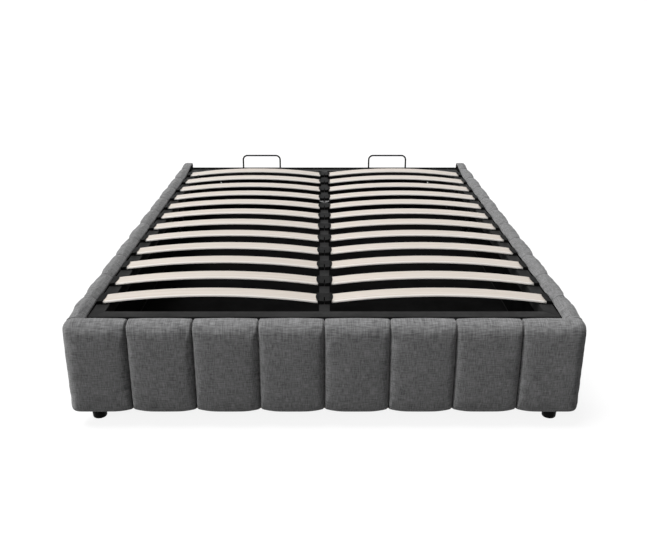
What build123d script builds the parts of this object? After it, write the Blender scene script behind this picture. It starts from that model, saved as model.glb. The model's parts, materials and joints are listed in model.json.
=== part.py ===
from build123d import *
import math
import os

os.makedirs("parts", exist_ok=True)

# An upholstered ottoman storage bed with a lifting slatted platform, in millimetres.
# The origin is on the floor under the middle of the bed, +X across it, +Y to the head end, +Z up.
# Pieces in left and right pairs are drawn on the right side, +X, and mirrored.

# The mattress that the bed takes, its play inside the rails, and what lies behind its head end
mattress_width = 1372
mattress_length = 1905
mattress_side_play = 11
mattress_end_play = 8
platform_head_play = 54

# Padded rails
rail_thickness = 53.5
crest_share = 0.45
crest_rise = 30.5
edge_drop = 19
hem_drop = 3
hem_bevel = 8
cover_lining = 1.7
cover_play = 0.3
cover_end_wall = 4
cover_end_radius = 10

# Sewn channels on the rails' outer faces
foot_seam_count = 7
foot_seam_pitch_share = 0.1256
side_seam_count = 10
side_first_seam_share = 0.0766
side_seam_pitch_share = 0.09626
seam_depth = 12
seam_drop = 8
seam_lift = 5
channel_shares = (0, 0.09, 0.91)
draw_in_shares = (1, 0, 0)
foot_end_shares = (0, 0.12, 0.45, 1)
head_end_shares = (0, 0.3, 1)

# Boards inside the covers, and the plain board at the head end
board_thickness = 22
board_height = 264
head_board_rise = 4
head_bolt_radius = 4.5
head_bolt_spacing_x = 1100
head_bolt_spacing_z = 120
head_bolt_low = 70

# Feet
foot_height = 57.5
foot_sides = 16
foot_bottom_radius = 21
foot_top_radius = 24
foot_inset_x = 63.5
foot_inset_y = 83.5
beam_foot_y = 465

# Corner brackets
bracket_sheet = 3
bracket_leg = 60
head_bracket_leg = 26
bracket_foot_reach = 92
head_bracket_drop = 60
rest_play = 0.3

# Storage floor
batten_width = 20
batten_height = 20
batten_end_play = 1
beam_width = 40
floor_thickness = 4
floor_edge_play = 6
floor_joint = 1

# Welded tube frame of the platform
platform_side_play = 5
platform_foot_play = 37
platform_rise = 5.5
tube_width = 40
tube_height = 40
tube_wall = 1.5
centre_bar_width = 32
splice_share = 0.658
splice_play = 0.5
joiner_length = 110
joiner_play = 0.2

# Sprung slats in two columns
slat_rows = 12
slat_width = 52.5
slat_thickness = 8
slat_pitch_share = 0.07823
slat_camber = 24
slat_centre_gap = 4
slat_end_margin = 7
first_slat_share = 0.0674

# Plastic caps that hold the slat ends
cap_floor = 1.5
cap_height = 21.5
cap_wall = 3.5
cap_end_margin = 1
cap_length = 30
cap_bevel = 5
cap_lip_depth = 6
cap_lip_drop = 3
cap_play = 0.3
centre_cap_reach = 23

# Wire loops that stop the mattress at the head end
stop_wire_radius = 3.5
stop_width = 191
stop_height = 78
stop_bend = 22
stop_centre_x = 325.5
stop_play = 0.2
stop_sides = 8

# Lifting gear: one pivot and one gas strut on each side
pivot_from_head = 330
pivot_drop = 18.5
pivot_radius = 5
pivot_head_radius = 9
pivot_head = 4
pivot_play = 0.05
washer_play = 0.3
lift_sheet = 4
lift_height = 38.5
lift_overhang = 24
lift_corner = 14
gear_margin = 42
gear_low_margin = 24
gear_foot_margin = 46
gear_head_margin = 64
gear_top_margin = 16
gear_corner = 12
strut_low_y = 78
strut_low_rise = 27
strut_high_y = 250
strut_high_z = 5
strut_inset = 24
strut_radius = 10
strut_end_wall = 4
strut_eye_radius = 10
strut_eye_sides = 12
strut_eye_width = 10
strut_neck_radius = 4.5
strut_neck_length = 17
rod_showing = 38.5
rod_radius = 4
rod_play = 0.05
rod_tail = 16
strut_pin_radius = 4
strut_pin_head_radius = 8
strut_pin_head = 3
strut_nut_radius = 7.5
hexagon_sides = 6
loose_hole_radius = 7.3
loose_washer_radius = 11
loose_washer = 2

# How far cuts run past the faces they go through
overrun = 5

# Places that follow from the sizes above
inner_half_width = mattress_width / 2 + mattress_side_play
outer_half_width = inner_half_width + rail_thickness
stop_from_foot = mattress_length + mattress_end_play + stop_wire_radius
opening_length = stop_from_foot + tube_width / 2 + platform_head_play
outer_length = opening_length + rail_thickness
foot_face_y = -outer_length / 2
foot_inner_y = foot_face_y + rail_thickness
head_end_y = outer_length / 2
board_bottom_z = foot_height
board_top_z = board_bottom_z + board_height
hem_z = board_bottom_z - hem_drop
crest_z = board_top_z + crest_rise
board_inset = cover_lining + cover_play
board_inner_x = inner_half_width + board_inset
board_outer_x = board_inner_x + board_thickness
foot_board_inner_y = foot_inner_y - board_inset
foot_board_outer_y = foot_board_inner_y - board_thickness
side_start_y = foot_inner_y + cover_play
side_board_end_y = head_end_y - cover_end_wall - cover_play
side_rail_length = head_end_y - foot_inner_y
side_first_seam = side_rail_length * side_first_seam_share
side_seam_pitch = side_rail_length * side_seam_pitch_share
foot_seam_pitch = 2 * outer_half_width * foot_seam_pitch_share
head_board_inner_y = head_end_y - board_thickness
head_board_half = inner_half_width - cover_play
head_board_top_z = board_top_z + head_board_rise

platform_half_width = inner_half_width - platform_side_play
platform_foot_y = foot_inner_y + platform_foot_play
platform_head_y = foot_inner_y + stop_from_foot + tube_width / 2
tube_top_z = board_top_z + platform_rise
tube_bottom_z = tube_top_z - tube_height
platform_length = platform_head_y - platform_foot_y
splice_y = platform_foot_y + platform_length * splice_share
stop_y = platform_head_y - tube_width / 2

slat_bottom_z = tube_top_z + cap_floor
slat_outer_x = platform_half_width - slat_end_margin
first_slat_y = platform_foot_y + platform_length * first_slat_share
slat_pitch = platform_length * slat_pitch_share
slat_places = [first_slat_y + row * slat_pitch for row in range(slat_rows)]
cap_outer_x = platform_half_width - cap_end_margin
cap_mouth_x = cap_outer_x - cap_length
cap_width = slat_width + 2 * cap_wall
cap_top_z = tube_top_z + cap_height

pivot_y = platform_head_y - pivot_from_head
pivot_z = tube_bottom_z - pivot_drop
strut_x = inner_half_width - strut_inset
floor_top_z = board_bottom_z + batten_height + floor_thickness
strut_low = Vector(strut_x, pivot_y - strut_low_y, floor_top_z + strut_low_rise)
strut_high = Vector(strut_x, pivot_y - strut_high_y, pivot_z - strut_high_z)
strut_span = (strut_high - strut_low).length
strut_tube_length = strut_span - strut_neck_length - rod_showing
gear_face_x = inner_half_width - bracket_sheet
lift_outer_x = platform_half_width
lift_inner_x = lift_outer_x - lift_sheet

foot_x = outer_half_width - foot_inset_x
foot_y = outer_length / 2 - foot_inset_y
rest_z = tube_bottom_z - rest_play


def save(piece, name):
    """label one finished piece and write its file"""
    piece.label = name
    export_step(piece, f"parts/{name}.step")


def save_pair(piece, name):
    """write a right-hand piece and its mirror image"""
    save(piece, f"{name}_right")
    save(mirror(piece, about=Plane.YZ), f"{name}_left")


# Padded covers with sewn channels


def rail_section(plane, inner, outward, depth, crest, hem):
    """closed section of a padded rail: plain inner face, rolled top and upright front"""
    ridge = inner + outward * depth * crest_share
    face = inner + outward * depth
    edge = crest - edge_drop * depth / rail_thickness
    roll = crest - depth * (1 - crest_share)
    with BuildSketch(plane) as section:
        with BuildLine():
            Line((inner, hem_z), (inner, edge))
            TangentArc((ridge, crest), (inner, edge), tangent=(-outward, 0))
            TangentArc((ridge, crest), (face, roll), tangent=(outward, 0))
            Polyline(
                (face, roll),
                (face, hem + hem_bevel),
                (face - outward * hem_bevel, hem),
                (inner, hem_z),
            )
        make_face()
    return section.sketch


def drawn_section(plane, inner, outward, draw, sink=0):
    """rail section, drawn in at a seam by the share draw and sunk at a rounded end by sink"""
    depth = rail_thickness - seam_depth * draw - sink
    crest = crest_z - seam_drop * draw - sink
    return rail_section(plane, inner, outward, depth, crest, hem_z + seam_lift * draw)


def channel_stations(seams):
    """places and draw-in shares along a run of channels, from its first seam up to its last"""
    return [
        (start + (end - start) * share, draw)
        for start, end in zip(seams[:-1], seams[1:])
        for share, draw in zip(channel_shares, draw_in_shares)
    ]


def open_stations(seam, pitch):
    """places and draw-in shares from the last seam to the full form"""
    return [(seam, 1), (seam + pitch * channel_shares[1], 0)]


def sink_at(radius, share):
    """how far a rounded end has sunk at a share of its radius from the end"""
    return radius * (1 - math.sqrt(1 - (1 - share) ** 2))


side_seams = [side_start_y]
side_seams += [foot_inner_y + side_first_seam + n * side_seam_pitch for n in range(side_seam_count)]
side_stations = [
    (y, draw, 0)
    for y, draw in channel_stations(side_seams) + open_stations(side_seams[-1], side_seam_pitch)
]
side_stations += [
    (head_end_y - cover_end_radius * share, 0, sink_at(cover_end_radius, share))
    for share in reversed(head_end_shares)
]

with BuildPart() as side_rail_cover:
    loft(
        sections=[
            drawn_section(Plane.XZ.offset(-y), inner_half_width, 1, draw, sink)
            for y, draw, sink in side_stations
        ],
        ruled=True,
    )
    with BuildSketch(Plane.XY.offset(hem_z - overrun)):
        with Locations((board_inner_x - cover_play, side_start_y - overrun)):
            Rectangle(
                board_thickness + 2 * cover_play,
                side_board_end_y + cover_play - side_start_y + overrun,
                align=Align.MIN,
            )
    extrude(amount=board_height + hem_drop + cover_play + overrun, mode=Mode.SUBTRACT)
    with BuildSketch(Plane.XY.offset(hem_z - overrun)):
        with Locations((foot_x, -foot_y), (foot_x, foot_y)):
            RegularPolygon(foot_top_radius + cover_play, foot_sides)
    extrude(amount=hem_drop + overrun, mode=Mode.SUBTRACT)

save_pair(side_rail_cover.part, "side_rail_cover")

round_end = rail_thickness * (1 - crest_share)
foot_seams = [(n - (foot_seam_count - 1) / 2) * foot_seam_pitch for n in range(foot_seam_count)]
foot_right = [(x, draw, 0) for x, draw in open_stations(foot_seams[-1], foot_seam_pitch)]
foot_right += [
    (outer_half_width - round_end * share, 0, sink_at(round_end, share))
    for share in reversed(foot_end_shares)
]
foot_stations = [(-x, draw, sink) for x, draw, sink in reversed(foot_right[1:])]
foot_stations += [(x, draw, 0) for x, draw in channel_stations(foot_seams)]
foot_stations += foot_right

with BuildPart() as foot_rail_cover:
    loft(
        sections=[
            drawn_section(Plane.YZ.offset(x), foot_inner_y, -1, draw, sink)
            for x, draw, sink in foot_stations
        ],
        ruled=True,
    )
    with BuildSketch(Plane.XY.offset(hem_z - overrun)):
        with Locations((0, (foot_board_inner_y + foot_board_outer_y) / 2)):
            Rectangle(2 * (board_outer_x + cover_play), board_thickness + 2 * cover_play)
    extrude(amount=board_height + hem_drop + cover_play + overrun, mode=Mode.SUBTRACT)

save(foot_rail_cover.part, "foot_rail_cover")

# Boards

with BuildPart() as side_rail_board:
    with BuildSketch(Plane.XY.offset(board_bottom_z)):
        with Locations((board_inner_x, side_start_y)):
            Rectangle(board_thickness, side_board_end_y - side_start_y, align=Align.MIN)
    extrude(amount=board_height)
save_pair(side_rail_board.part, "side_rail_board")

with BuildPart() as foot_rail_board:
    with BuildSketch(Plane.XY.offset(board_bottom_z)):
        with Locations((0, (foot_board_inner_y + foot_board_outer_y) / 2)):
            Rectangle(2 * board_outer_x, board_thickness)
    extrude(amount=board_height)
save(foot_rail_board.part, "foot_rail_board")

head_bolt_z = board_bottom_z + head_bolt_low + head_bolt_spacing_z / 2
with BuildPart() as head_rail_board:
    with BuildSketch(Plane.XY.offset(board_bottom_z)):
        with Locations((0, head_end_y - board_thickness / 2)):
            Rectangle(2 * head_board_half, board_thickness)
    extrude(amount=head_board_top_z - board_bottom_z)
    with Locations(Plane((0, head_end_y, head_bolt_z), x_dir=(-1, 0, 0), z_dir=(0, 1, 0))):
        with GridLocations(head_bolt_spacing_x, head_bolt_spacing_z, 2, 2):
            Hole(head_bolt_radius, depth=board_thickness)
save(head_rail_board.part, "head_rail_board")

# Corner brackets: the foot pair carries the platform's corners, and all four take a foot


def corner_bracket(wall_y, inward, side_leg, top_z):
    """right-hand angle bracket against the end wall at wall_y, with a plate for the foot"""
    inner_wall = wall_y + inward * bracket_sheet
    with BuildPart() as bracket:
        with BuildSketch(Plane.XY.offset(board_bottom_z)):
            with BuildLine():
                Polyline(
                    (inner_half_width, wall_y),
                    (inner_half_width, wall_y + inward * side_leg),
                    (gear_face_x, wall_y + inward * side_leg),
                    (gear_face_x, inner_wall),
                    (inner_half_width - bracket_leg, inner_wall),
                    (inner_half_width - bracket_leg, wall_y),
                    close=True,
                )
            make_face()
        extrude(amount=top_z - board_bottom_z)
        with BuildSketch(Plane.XY.offset(board_bottom_z)):
            with BuildLine():
                Polyline(
                    (inner_half_width, wall_y),
                    (inner_half_width, wall_y + inward * bracket_foot_reach),
                    (inner_half_width - bracket_leg / 2, wall_y + inward * bracket_foot_reach),
                    (inner_half_width - bracket_leg, wall_y + inward * bracket_leg),
                    (inner_half_width - bracket_leg, wall_y),
                    close=True,
                )
            make_face()
        extrude(amount=bracket_sheet)
    return bracket.part


foot_angle = corner_bracket(foot_inner_y, 1, bracket_leg, rest_z)
head_angle = corner_bracket(
    head_board_inner_y, -1, head_bracket_leg, board_top_z - head_bracket_drop
)
with BuildPart() as foot_bracket:
    add(foot_angle)
    with BuildSketch(Plane.XY.offset(rest_z - bracket_sheet)):
        with BuildLine():
            Polyline(
                (inner_half_width, foot_inner_y),
                (inner_half_width, foot_inner_y + bracket_leg),
                (inner_half_width - bracket_leg / 2, foot_inner_y + bracket_leg),
                (inner_half_width - bracket_leg, foot_inner_y + bracket_leg / 2),
                (inner_half_width - bracket_leg, foot_inner_y),
                close=True,
            )
        make_face()
    extrude(amount=bracket_sheet)

with BuildPart() as corner_brackets:
    add(head_angle)
    add(foot_bracket.part)
    mirror(about=Plane.YZ)
save(corner_brackets.part, "corner_brackets")

# Feet: four at the corners and two under the middle batten, many-sided to keep them light

with BuildPart() as foot:
    with BuildSketch():
        RegularPolygon(foot_bottom_radius, foot_sides)
    with BuildSketch(Plane.XY.offset(foot_height)):
        RegularPolygon(foot_top_radius, foot_sides)
    loft()

foot_places = [(x, y) for x in (-foot_x, foot_x) for y in (-foot_y, foot_y)]
beam_foot_places = [(0, -beam_foot_y), (0, beam_foot_y)]
with BuildPart() as feet:
    with Locations(*foot_places, *beam_foot_places):
        add(foot.part)
save(feet.part, "feet")

# Storage floor: battens along the rails, one down the middle, and two panels on them

side_batten_start = foot_inner_y + bracket_foot_reach + batten_end_play
side_batten_end = head_board_inner_y - bracket_foot_reach - batten_end_play
end_batten_half = inner_half_width - bracket_leg - batten_end_play
beam_start = foot_inner_y + batten_width + batten_end_play
beam_end = head_board_inner_y - batten_width - batten_end_play
with BuildPart() as floor_battens:
    with BuildSketch(Plane.XY.offset(board_bottom_z)):
        for side in (-1, 1):
            with Locations(
                (
                    side * (inner_half_width - batten_width / 2),
                    (side_batten_start + side_batten_end) / 2,
                )
            ):
                Rectangle(batten_width, side_batten_end - side_batten_start)
        with Locations(
            (0, foot_inner_y + batten_width / 2), (0, head_board_inner_y - batten_width / 2)
        ):
            Rectangle(2 * end_batten_half, batten_width)
        with Locations((0, (beam_start + beam_end) / 2)):
            Rectangle(beam_width, beam_end - beam_start)
    extrude(amount=batten_height)
save(floor_battens.part, "floor_battens")

floor_start = foot_inner_y + floor_edge_play
floor_end = head_board_inner_y - floor_edge_play
floor_panel_length = (floor_end - floor_start - floor_joint) / 2
with BuildPart() as floor_panels:
    with BuildSketch(Plane.XY.offset(board_bottom_z + batten_height)):
        with Locations((0, floor_start)):
            Rectangle(
                2 * (inner_half_width - floor_edge_play),
                floor_panel_length,
                align=(Align.CENTER, Align.MIN),
            )
        with Locations((0, floor_end)):
            Rectangle(
                2 * (inner_half_width - floor_edge_play),
                floor_panel_length,
                align=(Align.CENTER, Align.MAX),
            )
    extrude(amount=floor_thickness)
save(floor_panels.part, "floor_panels")

# Platform frame: four square tubes mitred at the corners


def side_tube_corners(inset):
    """plan corners of the right side tube, drawn in by inset for its hollow"""
    outer_x = platform_half_width - inset
    inner_x = platform_half_width - tube_width + inset
    return [
        (outer_x, platform_foot_y + inset),
        (outer_x, platform_head_y - inset),
        (inner_x, platform_head_y - tube_width + inset),
        (inner_x, platform_foot_y + tube_width - inset),
    ]


def end_tube_corners(outer_y, inward, inset):
    """plan corners of an end tube, drawn in by inset for its hollow"""
    long_half = platform_half_width - inset
    short_half = platform_half_width - tube_width + inset
    near_y = outer_y + inward * inset
    far_y = outer_y + inward * (tube_width - inset)
    return [(-long_half, near_y), (long_half, near_y), (short_half, far_y), (-short_half, far_y)]


def mitred_tube(outer_corners, hollow_corners):
    """square tube between two mitres, from its plan outline and that of its hollow"""
    with BuildPart() as tube:
        with BuildSketch(Plane.XY.offset(tube_bottom_z)):
            with BuildLine():
                Polyline(*outer_corners, close=True)
            make_face()
        extrude(amount=tube_height)
        with BuildSketch(Plane.XY.offset(tube_bottom_z + tube_wall)):
            with BuildLine():
                Polyline(*hollow_corners, close=True)
            make_face()
        extrude(amount=tube_height - 2 * tube_wall, mode=Mode.SUBTRACT)
    return tube.part


side_tube = mitred_tube(side_tube_corners(0), side_tube_corners(tube_wall))
save_pair(side_tube, "side_tube")
foot_tube = mitred_tube(
    end_tube_corners(platform_foot_y, 1, 0), end_tube_corners(platform_foot_y, 1, tube_wall)
)
save(foot_tube, "foot_tube")

stop_legs = [
    side * (stop_centre_x + end * stop_width / 2) for side in (-1, 1) for end in (-1, 1)
]
head_tube_body = mitred_tube(
    end_tube_corners(platform_head_y, -1, 0), end_tube_corners(platform_head_y, -1, tube_wall)
)
with BuildPart() as head_tube:
    add(head_tube_body)
    with BuildSketch(Plane.XY.offset(tube_top_z - tube_wall - overrun)):
        with Locations(*[(x, stop_y) for x in stop_legs]):
            RegularPolygon(stop_wire_radius + stop_play, stop_sides)
    extrude(amount=tube_wall + 2 * overrun, mode=Mode.SUBTRACT)
save(head_tube.part, "head_tube")

# Centre bar in two lengths, joined over a sleeve inside it


def centre_bar(start_y, end_y):
    """hollow bar between two places along the bed"""
    with BuildPart() as bar:
        with BuildSketch(Plane.XZ.offset(-end_y)):
            with Locations((0, tube_bottom_z)):
                Rectangle(centre_bar_width, tube_height, align=(Align.CENTER, Align.MIN))
            with Locations((0, tube_bottom_z + tube_wall)):
                Rectangle(
                    centre_bar_width - 2 * tube_wall,
                    tube_height - 2 * tube_wall,
                    align=(Align.CENTER, Align.MIN),
                    mode=Mode.SUBTRACT,
                )
        extrude(amount=end_y - start_y)
    return bar.part


bar_start = platform_foot_y + tube_width
bar_end = platform_head_y - tube_width
save(centre_bar(bar_start, splice_y - splice_play / 2), "centre_bar_foot")
save(centre_bar(splice_y + splice_play / 2, bar_end), "centre_bar_head")

joiner_width = centre_bar_width - 2 * (tube_wall + joiner_play)
joiner_height = tube_height - 2 * (tube_wall + joiner_play)
with BuildPart() as centre_bar_joiner:
    with BuildSketch(Plane.XZ.offset(-(splice_y + joiner_length / 2))):
        with Locations((0, tube_bottom_z + tube_height / 2)):
            Rectangle(joiner_width, joiner_height)
            Rectangle(
                joiner_width - 2 * tube_wall, joiner_height - 2 * tube_wall, mode=Mode.SUBTRACT
            )
    extrude(amount=joiner_length)
save(centre_bar_joiner.part, "centre_bar_joiner")

# Sprung slats: bent strips whose ends sit in plastic caps


def slat_strip(width, play):
    """right-hand slat's bent strip, swollen by play where it cuts a cap's pocket"""
    middle_x = (slat_centre_gap + slat_outer_x) / 2
    ends = (slat_centre_gap - play, slat_outer_x + play)
    low = slat_bottom_z - play
    high = slat_bottom_z + slat_thickness + play
    with BuildPart() as strip:
        with BuildSketch(Plane.XZ.offset(-width / 2)):
            with BuildLine():
                ThreePointArc((ends[0], low), (middle_x, low + slat_camber), (ends[1], low))
                Line((ends[1], low), (ends[1], high))
                ThreePointArc((ends[1], high), (middle_x, high + slat_camber), (ends[0], high))
                Line((ends[0], high), (ends[0], low))
            make_face()
        extrude(amount=width)
    return strip.part


slat = slat_strip(slat_width, 0)
for row, y in enumerate(slat_places, start=1):
    save_pair(Pos(0, y, 0) * slat, f"slat_{row:02d}")

# Caps: one over each slat's outer end, and a double one over each pair's inner ends


cap_pocket = slat_strip(slat_width + 2 * cap_play, cap_play)
cap_pocket_left = cap_pocket.mirror(Plane.YZ)

with BuildPart() as end_cap:
    with BuildSketch(Plane.XZ.offset(-cap_width / 2)):
        with BuildLine():
            Polyline(
                (cap_outer_x - cap_bevel, cap_top_z),
                (cap_mouth_x + cap_lip_depth, cap_top_z),
                (cap_mouth_x, cap_top_z - cap_lip_drop),
                (cap_mouth_x, tube_top_z),
                (cap_outer_x, tube_top_z),
                (cap_outer_x, cap_top_z - cap_bevel),
                close=True,
            )
        make_face()
    extrude(amount=cap_width)
    add(cap_pocket, mode=Mode.SUBTRACT)

with BuildPart() as end_caps:
    with Locations(*[(0, y) for y in slat_places]):
        add(end_cap.part)
save_pair(end_caps.part, "end_caps")

with BuildPart() as centre_cap:
    with BuildSketch(Plane.XZ.offset(-cap_width / 2)):
        with BuildLine():
            Polyline(
                (centre_cap_reach, tube_top_z),
                (centre_cap_reach, cap_top_z - cap_lip_drop),
                (centre_cap_reach - cap_lip_depth, cap_top_z),
                (cap_lip_depth - centre_cap_reach, cap_top_z),
                (-centre_cap_reach, cap_top_z - cap_lip_drop),
                (-centre_cap_reach, tube_top_z),
                close=True,
            )
        make_face()
    extrude(amount=cap_width)
    add(cap_pocket, mode=Mode.SUBTRACT)
    add(cap_pocket_left, mode=Mode.SUBTRACT)

with BuildPart() as centre_caps:
    with Locations(*[(0, y) for y in slat_places]):
        add(centre_cap.part)
save(centre_caps.part, "centre_caps")

# Mattress stops: bent wire loops plugged into the head tube, eight-sided to keep the bends light

stop_leg_z = tube_bottom_z + tube_wall
stop_bar_z = tube_top_z + stop_height
with BuildPart() as mattress_stop:
    with BuildLine(Plane.XZ.offset(-stop_y)):
        stop_path = FilletPolyline(
            (stop_centre_x - stop_width / 2, stop_leg_z),
            (stop_centre_x - stop_width / 2, stop_bar_z),
            (stop_centre_x + stop_width / 2, stop_bar_z),
            (stop_centre_x + stop_width / 2, stop_leg_z),
            radius=stop_bend,
        )
    with BuildSketch(Plane(stop_path @ 0, x_dir=(1, 0, 0), z_dir=stop_path % 0)):
        RegularPolygon(stop_wire_radius, stop_sides)
    sweep()
save_pair(mattress_stop.part, "mattress_stop")

# Lifting gear: angle rails welded under the side tubes, and plates on the side rails

with BuildPart() as lift_rail:
    with BuildSketch(Plane.YZ.offset(lift_inner_x)) as lift_outline:
        with BuildLine():
            Polyline(
                (pivot_y + lift_overhang, tube_bottom_z),
                (pivot_y + lift_overhang, tube_bottom_z - lift_height),
                (strut_high.Y - lift_overhang, tube_bottom_z - lift_height),
                (strut_high.Y - lift_overhang, tube_bottom_z),
                close=True,
            )
        make_face()
        chamfer(lift_outline.vertices().group_by(Axis.Y)[0], length=lift_corner)
        with Locations((pivot_y, pivot_z)):
            Circle(pivot_radius + pivot_play, mode=Mode.SUBTRACT)
        with Locations((strut_high.Y, strut_high.Z)):
            Circle(loose_hole_radius, mode=Mode.SUBTRACT)
    extrude(amount=lift_sheet)
    with BuildSketch(Plane.XY.offset(tube_bottom_z - lift_sheet)):
        with Locations((lift_outer_x, strut_high.Y - lift_overhang)):
            Rectangle(
                tube_width,
                pivot_y - strut_high.Y + 2 * lift_overhang,
                align=(Align.MAX, Align.MIN),
            )
    extrude(amount=lift_sheet)
save_pair(lift_rail.part, "lift_rail")

gear_low_z = strut_low.Z - gear_low_margin
with BuildPart() as gear_plate:
    with BuildSketch(Plane.YZ.offset(gear_face_x)) as gear_outline:
        with BuildLine():
            Polyline(
                (pivot_y - gear_margin, pivot_z + gear_top_margin),
                (pivot_y + gear_margin, pivot_z + gear_top_margin),
                (pivot_y + gear_margin, (pivot_z + strut_low.Z) / 2),
                (strut_low.Y + gear_head_margin, gear_low_z),
                (strut_low.Y - gear_foot_margin, gear_low_z),
                (strut_low.Y - gear_foot_margin, strut_low.Z + gear_margin),
                close=True,
            )
        make_face()
        chamfer(gear_outline.vertices(), length=gear_corner)
        with Locations((pivot_y, pivot_z)):
            Circle(pivot_radius, mode=Mode.SUBTRACT)
        with Locations((strut_low.Y, strut_low.Z)):
            Circle(strut_pin_radius, mode=Mode.SUBTRACT)
    extrude(amount=bracket_sheet)
save_pair(gear_plate.part, "gear_plate")


def side_plane(place, x):
    """plane that faces +X at x, centred on a pin's place"""
    return Plane((x, place.Y, place.Z), x_dir=(0, 1, 0), z_dir=(1, 0, 0))


def pin_with_hexagons(place, start_x, end_x, radius, hexagons):
    """pin along an X axis through place, with a head or nut for each (start, end, radius)"""
    with BuildPart() as pin:
        with BuildSketch(side_plane(place, start_x)):
            Circle(radius)
        extrude(amount=end_x - start_x)
        for hexagon_start, hexagon_end, hexagon_radius in hexagons:
            with BuildSketch(side_plane(place, hexagon_start)):
                RegularPolygon(hexagon_radius, hexagon_sides)
            extrude(amount=hexagon_end - hexagon_start)
    return pin.part


pivot = Vector(strut_x, pivot_y, pivot_z)
pivot_head_x = lift_inner_x - washer_play
strut_outer_x = strut_x + strut_eye_width / 2 + washer_play
strut_inner_x = strut_x - strut_eye_width / 2 - washer_play
rod_washer_x = lift_outer_x + washer_play
hinge_bolt = pin_with_hexagons(
    pivot,
    pivot_head_x,
    inner_half_width,
    pivot_radius,
    [(pivot_head_x - pivot_head, pivot_head_x, pivot_head_radius)],
)
strut_stud = pin_with_hexagons(
    strut_low,
    strut_inner_x,
    inner_half_width,
    strut_pin_radius,
    [
        (strut_inner_x - strut_pin_head, strut_inner_x, strut_pin_head_radius),
        (strut_outer_x, gear_face_x, strut_nut_radius),
    ],
)
rod_pin = pin_with_hexagons(
    strut_high,
    strut_x - strut_eye_width / 2,
    rod_washer_x,
    strut_pin_radius,
    [(rod_washer_x, rod_washer_x + loose_washer, loose_washer_radius)],
)
with BuildPart() as pivot_pins:
    add(hinge_bolt)
    add(strut_stud)
    mirror(about=Plane.YZ)
save(pivot_pins.part, "pivot_pins")
save_pair(rod_pin, "rod_pin")

# Gas struts: a cylinder on the lower stud, and a rod that slides in its bore

strut_base = Plane(strut_low, x_dir=(1, 0, 0), z_dir=strut_high - strut_low)
low_eye = Plane(strut_low - (strut_eye_width / 2, 0, 0), x_dir=(0, 1, 0), z_dir=(1, 0, 0))
high_eye = Plane(strut_high - (strut_eye_width / 2, 0, 0), x_dir=(0, 1, 0), z_dir=(1, 0, 0))
with BuildPart() as strut_cylinder:
    with BuildSketch(low_eye):
        RegularPolygon(strut_eye_radius, strut_eye_sides)
    extrude(amount=strut_eye_width)
    with BuildSketch(strut_base):
        Circle(strut_neck_radius)
    extrude(amount=strut_neck_length)
    with BuildSketch(strut_base.offset(strut_neck_length)):
        Circle(strut_radius)
    extrude(amount=strut_tube_length)
    with BuildSketch(strut_base.offset(strut_neck_length + strut_end_wall)):
        Circle(rod_radius + rod_play)
    extrude(amount=strut_tube_length, mode=Mode.SUBTRACT)
    with BuildSketch(low_eye):
        Circle(strut_pin_radius + pivot_play)
    extrude(amount=strut_eye_width, mode=Mode.SUBTRACT)
save_pair(strut_cylinder.part, "strut_cylinder")

rod_start = strut_neck_length + strut_end_wall + rod_tail
with BuildPart() as strut_rod:
    with BuildSketch(high_eye):
        RegularPolygon(strut_eye_radius, strut_eye_sides)
    extrude(amount=strut_eye_width)
    with BuildSketch(strut_base.offset(rod_start)):
        Circle(rod_radius)
    extrude(amount=strut_span - rod_start)
    with BuildSketch(high_eye):
        Circle(strut_pin_radius)
    extrude(amount=strut_eye_width, mode=Mode.SUBTRACT)
save_pair(strut_rod.part, "strut_rod")
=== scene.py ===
import json
import math

import bmesh
import bpy
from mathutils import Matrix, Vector, noise

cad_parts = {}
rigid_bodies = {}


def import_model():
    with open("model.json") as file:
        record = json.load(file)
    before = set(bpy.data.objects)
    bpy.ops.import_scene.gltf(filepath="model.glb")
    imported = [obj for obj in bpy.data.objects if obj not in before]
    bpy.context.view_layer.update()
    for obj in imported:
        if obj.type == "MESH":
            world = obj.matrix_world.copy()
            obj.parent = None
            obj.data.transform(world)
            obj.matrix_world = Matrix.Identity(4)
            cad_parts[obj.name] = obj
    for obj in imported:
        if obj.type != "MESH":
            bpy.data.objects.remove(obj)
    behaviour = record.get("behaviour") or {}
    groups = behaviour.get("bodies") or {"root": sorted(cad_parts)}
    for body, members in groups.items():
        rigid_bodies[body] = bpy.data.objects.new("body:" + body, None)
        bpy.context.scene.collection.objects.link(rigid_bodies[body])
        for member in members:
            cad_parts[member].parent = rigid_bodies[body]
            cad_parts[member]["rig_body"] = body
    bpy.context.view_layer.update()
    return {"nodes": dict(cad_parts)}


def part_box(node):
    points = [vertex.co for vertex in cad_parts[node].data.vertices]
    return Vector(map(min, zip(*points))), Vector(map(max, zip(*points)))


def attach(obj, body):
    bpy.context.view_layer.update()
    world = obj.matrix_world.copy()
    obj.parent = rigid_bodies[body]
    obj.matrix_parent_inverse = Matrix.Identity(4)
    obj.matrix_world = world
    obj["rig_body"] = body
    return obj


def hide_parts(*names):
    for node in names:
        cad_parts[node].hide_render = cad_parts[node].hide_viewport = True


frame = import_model()
nodes = frame["nodes"]
scene = bpy.context.scene


# Shader helpers


def new_material(name, **values):
    """A material with a Principled shader, its node tree and the shader."""
    material = bpy.data.materials.new(name)
    material.use_nodes = True
    tree = material.node_tree
    shader = tree.nodes["Principled BSDF"]
    for key, value in values.items():
        shader.inputs[key.replace("_", " ")].default_value = value
    return material, tree, shader


def add(tree, kind, **settings):
    """A shader node with its settings; in_ names an input socket."""
    node = tree.nodes.new(kind)
    for key, value in settings.items():
        if key.startswith("in_"):
            node.inputs[key[3:].replace("_", " ")].default_value = value
        else:
            setattr(node, key, value)
    return node


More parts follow.
